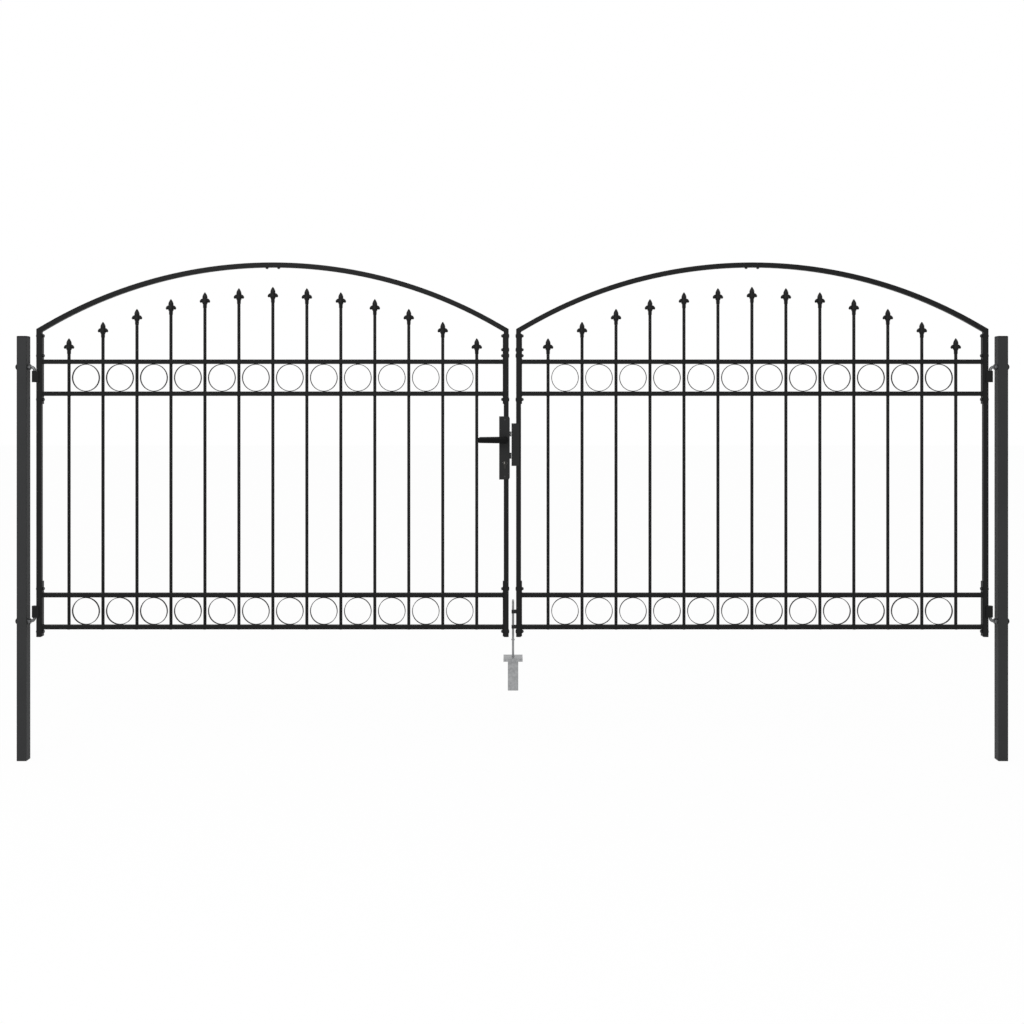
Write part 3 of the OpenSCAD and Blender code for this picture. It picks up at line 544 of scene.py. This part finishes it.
# %% Arch bolts
TUBE_W = 20 * MM
CROWN_BOLT_TURN = 24 * MM / ARCH_R
CROWN_HEAD_R = 6 * MM
CROWN_HEAD_H = 0.08 * MM
CROWN_BOLT_D = 6.4 * MM
for side in ("left", "right"):
    bolts = bmesh.new()
    middle, centre_z = leaf_middle(side), crown_height(side) - ARCH_R
    centre = Vector((middle, 0, centre_z))
    for turn in (-CROWN_BOLT_TURN, CROWN_BOLT_TURN):
        outward = Vector((math.sin(turn), 0, math.cos(turn)))
        round_head(bolts, standing_on(centre + outward * ARCH_R, outward), CROWN_HEAD_R, CROWN_HEAD_H)
        washer_and_nut(bolts, standing_on(centre + outward * (ARCH_R - TUBE_W), -outward), CROWN_BOLT_D)
    finished_piece(side + "_arch_bolts", bolts, blackened, side + "_leaf")

# %% [markdown]
# The rings are bent from flat strip and their edges are rolled a little round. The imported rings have
# few sides, so each row is turned anew: the strip's section, with its four corners cut, is spun in 72 steps
# about the ring's own axis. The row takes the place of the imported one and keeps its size.

# %% Rolled rings
PICKETS = 13
RINGS = PICKETS - 1
RING_T = 2.5 * MM
RING_EDGE = 0.5 * MM
RING_STEPS = 72


def strip_section(outer, half_depth):
    inner = outer - RING_T
    corner = half_depth - RING_EDGE
    section = [(inner, -corner), (inner + RING_EDGE, -half_depth), (outer - RING_EDGE, -half_depth),
               (outer, -corner), (outer, corner), (outer - RING_EDGE, half_depth),
               (inner + RING_EDGE, half_depth), (inner, corner)]
    return section + section[:1]


for row in [side + level for side in ("left", "right") for level in ("_lower_rings", "_upper_rings")]:
    rings = bmesh.new()
    low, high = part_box(row)
    ring_r = (high.z - low.z) / 2
    ring_pitch = (high.x - low.x - 2 * ring_r) / (RINGS - 1)
    for index in range(RINGS):
        centre = (low.x + ring_r + index * ring_pitch, 0, low.z + ring_r)
        turned(rings, strip_section(ring_r, high.y), standing_on(centre, (0, 1, 0)), RING_STEPS)
    side = row.split("_")[0]
    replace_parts(finished_piece(row + "_rolled", rings, bar_coat, side + "_leaf"), row)

# %% [markdown]
# Each picket ends in a spear: a rounded blade over a bell, a petal on either side, and a sleeve round the
# picket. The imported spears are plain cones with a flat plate, so they are shaped anew, with their tips,
# height and width kept and a fuller bell. Blade, bell and sleeve are one turned profile, and each petal
# is a sphere, stretched and leant outwards.

# %% Spear heads
SPEAR_PROFILE = [(0, 0), (1.8, -1.4), (3.6, -4), (6.1, -8), (8.0, -12), (9.5, -16), (10.2, -20), (10.1, -24),
                 (10.0, -30), (10.6, -36), (11.2, -41), (10.7, -45), (9.0, -47.6), (7.8, -49.5), (7.6, -63),
                 (7.0, -64), (0, -64)]
SPEAR_STEPS = 24
PETAL_SIZE = Matrix.Diagonal((6.9 * MM, 4.5 * MM, 10.4 * MM, 1))
PETAL_OUT = 12.6 * MM
PETAL_DROP = 34.2 * MM


def picket_places(side):
    low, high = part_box(side + "_pickets")
    radius = (high.y - low.y) / 2
    pitch = (high.x - low.x - 2 * radius) / (PICKETS - 1)
    return [low.x + radius + index * pitch for index in range(PICKETS)]


def tip_height(side, x):
    corners = nodes[side + "_spear_points"].data.vertices
    return max(corner.co.z for corner in corners if abs(corner.co.x - x) < 2 * MM)


def spear_head(bm, tip):
    turned(bm, in_mm(SPEAR_PROFILE), Matrix.Translation(tip), SPEAR_STEPS)
    for out in (-1, 1):
        place = Matrix.Translation(tip + Vector((out * PETAL_OUT, 0, -PETAL_DROP)))
        lean = Matrix.Rotation(-out * math.pi / 4, 4, "Y")
        bmesh.ops.create_uvsphere(bm, u_segments=16, v_segments=10, radius=1.0,
                                  matrix=place @ lean @ PETAL_SIZE)


for side in ("left", "right"):
    spears = bmesh.new()
    for x in picket_places(side):
        spear_head(spears, Vector((x, 0, tip_height(side, x))))
    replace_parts(finished_piece(side + "_spear_heads", spears, bar_coat, side + "_leaf"),
                side + "_spear_points")

# %% [markdown]
# Before coating, every picket is welded where it passes through a rail, every ring where it touches
# one, and every rail where it meets its end plate. The coat then flows over the beads. There are
# hundreds of them, so each has only a few dozen faces.

# %% Weld beads on the panels
RAIL_W = 18 * MM
BEAD_T = 1.1 * MM
RING_BEAD = (13 * MM, 9 * MM, 2.2 * MM)
RAIL_BEAD = (2 * MM, 20 * MM, 20 * MM)
RAIL_BEAD_IN = 0.8 * MM
BEAD_ROUND = 0.9 * MM


def rail_levels(side):
    faces = []
    for pair in ("_lower_rails", "_upper_rails"):
        low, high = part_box(side + pair)
        faces += [low.z, high.z - RAIL_W]
    return faces


def bead_ring(bm, centre, radius, thickness):
    rim = Vector(centre) + Vector((radius, 0, 0))
    start = Matrix.Translation(rim) @ Matrix.Rotation(math.pi / 2, 4, "X")
    ring = bmesh.ops.create_circle(bm, cap_ends=False, segments=5, radius=thickness, matrix=start)["verts"]
    edges = list({edge for vert in ring for edge in vert.link_edges})
    bmesh.ops.spin(bm, geom=ring + edges, cent=centre, axis=(0, 0, 1), angle=2 * math.pi, steps=10,
                   use_merge=True)


def bead_drop(bm, centre, size):
    bmesh.ops.create_uvsphere(bm, u_segments=8, v_segments=5, radius=0.5,
                              matrix=Matrix.Translation(centre) @ Matrix.Diagonal((*size, 1)))


def bead_frame(bm, centre, size):
    block = bmesh.ops.create_cube(bm, size=1.0,
                                  matrix=Matrix.Translation(centre) @ Matrix.Diagonal((*size, 1)))["verts"]
    soft_edges(bm, block, BEAD_ROUND, 2)


for side in ("left", "right"):
    beads = bmesh.new()
    levels = rail_levels(side)
    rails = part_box(side + "_lower_rails")
    places = picket_places(side)
    bead_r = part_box(side + "_pickets")[1].y + SUNK
    for x in places:
        for z in levels:
            bead_ring(beads, (x, 0, z), bead_r, BEAD_T)
            bead_ring(beads, (x, 0, z + RAIL_W), bead_r, BEAD_T)
    for x, following in zip(places, places[1:]):
        middle = (x + following) / 2
        for under, over in (levels[:2], levels[2:]):
            bead_drop(beads, (middle, 0, under + RAIL_W), RING_BEAD)
            bead_drop(beads, (middle, 0, over), RING_BEAD)
    for z in levels:
        for x, inward in ((rails[0].x, 1), (rails[1].x, -1)):
            bead_frame(beads, (x + inward * RAIL_BEAD_IN, 0, z + RAIL_W / 2), RAIL_BEAD)
    finished_piece(side + "_weld_beads", beads, bar_coat, side + "_leaf")

# %% [markdown]
# The straps of the hinge eyes and the cheeks of the keep are welded along their edges. A short
# round bar, half sunk in the corner, is a good weld seam: it is turned from a profile that swells at
# every second step, and so has ripples.

# %% Weld seams on hinges and keep
EYE_H = 46 * MM
RIPPLE = 2.2 * MM
RIPPLE_DIP = 0.82
SEAM_TIP = 0.55
SEAM_STEPS = 8
SEAM_OUT = 0.2 * MM
EYE_SEAM_R = 1.7 * MM
EYE_SEAM_END = 2 * MM
KEEP_SEAM_R = 1.5 * MM
KEEP_SEAM_END = 6 * MM
KEEP_SEAM_IN = 1.6 * MM


def weld_seam(bm, foot, length, radius):
    ripples = max(4, int(length / RIPPLE))
    profile = [(0, 0)]
    for step in range(ripples + 1):
        swell = 1.0 if step % 2 else RIPPLE_DIP
        share = SEAM_TIP if step in (0, ripples) else swell
        profile.append((radius * share, length * step / ripples))
    turned(bm, profile + [(0, length)], Matrix.Translation(foot), SEAM_STEPS)


for side, stile, edge in (("left", "left_hinge_stile", 1), ("right", "right_hinge_stile", -1)):
    seams = bmesh.new()
    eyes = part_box(side + "_hinge_eyes")
    strap_end = eyes[1].x if edge > 0 else eyes[0].x
    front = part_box(stile)[0].y
    for z in (eyes[0].z, eyes[1].z - EYE_H):
        foot = (strap_end + edge * SEAM_OUT, front - SEAM_OUT, z + EYE_SEAM_END)
        weld_seam(seams, foot, EYE_H - 2 * EYE_SEAM_END, EYE_SEAM_R)
    if side == "right":
        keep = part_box("lock_keep")
        for y in (keep[0].y, keep[1].y):
            inset = KEEP_SEAM_IN if y < 0 else -KEEP_SEAM_IN
            foot = (keep[1].x + SEAM_OUT, y + inset, keep[0].z + KEEP_SEAM_END)
            weld_seam(seams, foot, keep[1].z - keep[0].z - 2 * KEEP_SEAM_END, KEEP_SEAM_R)
    finished_piece(side + "_weld_seams", seams, bar_coat, side + "_leaf")

# %% [markdown]
# The long plates are held by two low screws each, and a ring covers the hole where the
# lever's neck turns. The screw starts as a disc with twelve sides; its top is inset and pushed down, which
# leaves the socket for the driver.

# %% Lock trim
SCREW_R = 4 * MM
SCREW_H = 1.3 * MM
SCREW_IN = 13 * MM
SCREW_SUNK = 0.4 * MM
SCREW_TOP = 0.86
SOCKET_RIM = 0.42
SOCKET_DEPTH = 0.7
TRIM_STEPS = 40
ROSE_PROFILE = [(15, -0.3), (15, 0.9), (13.8, 1.9), (11.4, 2.3), (9.8, 2.3), (9.6, -0.3)]
lever_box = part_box("lock_lever")
lever_r = (lever_box[1].z - lever_box[0].z) / 2
lever_axis = Vector((lever_box[1].x - lever_r, 0, (lever_box[1].z + lever_box[0].z) / 2))


def socket_screw(bm, matrix, radius, height):
    middle = Matrix.Translation((0, 0, (height - SCREW_SUNK) / 2))
    disc = bmesh.ops.create_cone(
        bm, cap_ends=True, segments=12, radius1=radius, radius2=SCREW_TOP * radius,
        depth=height + SCREW_SUNK, matrix=matrix @ middle)["verts"]
    up = (matrix.to_3x3() @ Vector((0, 0, 1))).normalized()
    bm.normal_update()
    top = max({face for vert in disc for face in vert.link_faces},
              key=lambda face: face.normal.dot(up))
    bmesh.ops.inset_region(bm, faces=[top], thickness=SOCKET_RIM * radius)
    pushed = bmesh.ops.extrude_discrete_faces(bm, faces=[top])["faces"]
    bmesh.ops.translate(bm, verts=pushed[0].verts, vec=-SOCKET_DEPTH * height * up)


screws = bmesh.new()
roses = bmesh.new()
for plate, out in (("lock_front_plate", -1), ("lock_back_plate", 1)):
    low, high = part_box(plate)
    face_y = low.y if out < 0 else high.y
    for z in (low.z + SCREW_IN, high.z - SCREW_IN):
        socket_screw(screws, standing_on((lever_axis.x, face_y, z), (0, out, 0)), SCREW_R, SCREW_H)
    rose_place = standing_on((lever_axis.x, face_y, lever_axis.z), (0, out, 0))
    turned(roses, in_mm(ROSE_PROFILE), rose_place, TRIM_STEPS)
finished_piece("lock_plate_screws", screws, blackened, "left_leaf")
finished_piece("lever_roses", roses, lever_satin, "left_leaf")

# %% [markdown]
# The lever is a cast handle with a broad root and a narrower tip, and nothing on it is sharp. Two
# discs wrapped in a hull give the tapered outline, a wide bevel rounds its rim, and a turned neck with a
# flare carries it. The hull keeps the CAD lever's own length and depth.

# %% Rounded lever
TIP_R = 11 * MM
LEVER_T = 14 * MM
GRIP_ROUND = 5.2 * MM
NECK_R = 9 * MM
NECK_CLEAR = 0.1 * MM
NECK_STRAIGHT = 13.9 * MM
NECK_FLARE = [(9.3, -8), (10.2, -3.5), (12.2, 1.2), (12.2, 6), (0, 6)]


def hand_grip(bm, out):
    far = lever_box[1].y
    ends = ((lever_axis.x, lever_r), (lever_box[0].x + TIP_R, TIP_R))
    for x, radius in ends:
        for y in (far, far - LEVER_T):
            place = Matrix.Translation((x, out * y, lever_axis.z)) @ Matrix.Rotation(math.pi / 2, 4, "X")
            bmesh.ops.create_circle(bm, cap_ends=False, segments=48, radius=radius, matrix=place)
    hull = bmesh.ops.convex_hull(bm, input=bm.verts)
    spare = {item for item in hull["geom_interior"] + hull["geom_unused"]
             if isinstance(item, bmesh.types.BMVert)}
    bmesh.ops.delete(bm, geom=list(spare), context="VERTS")
    bmesh.ops.dissolve_limit(bm, angle_limit=math.radians(1), verts=bm.verts, edges=bm.edges)
    soft_edges(bm, bm.verts, GRIP_ROUND, 6, math.radians(60))


def neck(bm, out):
    foot_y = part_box("lock_back_plate")[1].y + NECK_CLEAR
    arm_y = lever_box[1].y - LEVER_T
    straight = [(0, foot_y), (NECK_R, foot_y), (NECK_R, foot_y + NECK_STRAIGHT)]
    flare = [(radius, arm_y + height) for radius, height in in_mm(NECK_FLARE)]
    turned(bm, straight + flare, standing_on(lever_axis, (0, out, 0)), TRIM_STEPS)


for name, out in (("front_hand_lever", -1), ("back_hand_lever", 1)):
    handle = bmesh.new()
    hand_grip(handle, out)
    neck(handle, out)
    piece = finished_piece(name, handle, lever_satin, "lever")
    if out < 0:
        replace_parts(piece, "lock_lever")

# %% [markdown]
# The turning plug of the key cylinder shows as a fine raised ring round the key slot, on both faces.
# A small profile spun about the key's own axis gives it. Beside the slot a short rib in bright nickel
# is a painted highlight: it stands for the light caught on the left edge of the keyway.

# %% Key plug rings and ribs
KEY_DROP = 92 * MM
PLUG_RING = [(6.6, -0.3), (6.5, 0.35), (5.9, 0.45), (5.5, -0.3)]
RIB_SIZE = Matrix.Diagonal((1.9 * MM, 1.2 * MM, 9 * MM, 1))
RIB_ASIDE = Vector((-2.1 * MM, 0, -0.3 * MM))
RIB_ROUND = 0.5 * MM
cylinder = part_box("lock_cylinder")
plug_rings = bmesh.new()
ribs = bmesh.new()
for face_y, out in ((cylinder[0].y, -1), (cylinder[1].y, 1)):
    key_centre = Vector((lever_axis.x, face_y, lever_axis.z - KEY_DROP))
    turned(plug_rings, in_mm(PLUG_RING), standing_on(key_centre, (0, out, 0)), TRIM_STEPS)
    # the rib's bright nickel is a painted highlight on the keyway's left edge
    rib_place = Matrix.Translation(key_centre + RIB_ASIDE)
    rib = bmesh.ops.create_cube(ribs, size=1.0, matrix=rib_place @ RIB_SIZE)["verts"]
    soft_edges(ribs, rib, RIB_ROUND, 3)
finished_piece("key_plug_rings", plug_rings, key_nickel, "left_leaf")
finished_piece("keyway_ribs", ribs, plug_nickel, "left_leaf")
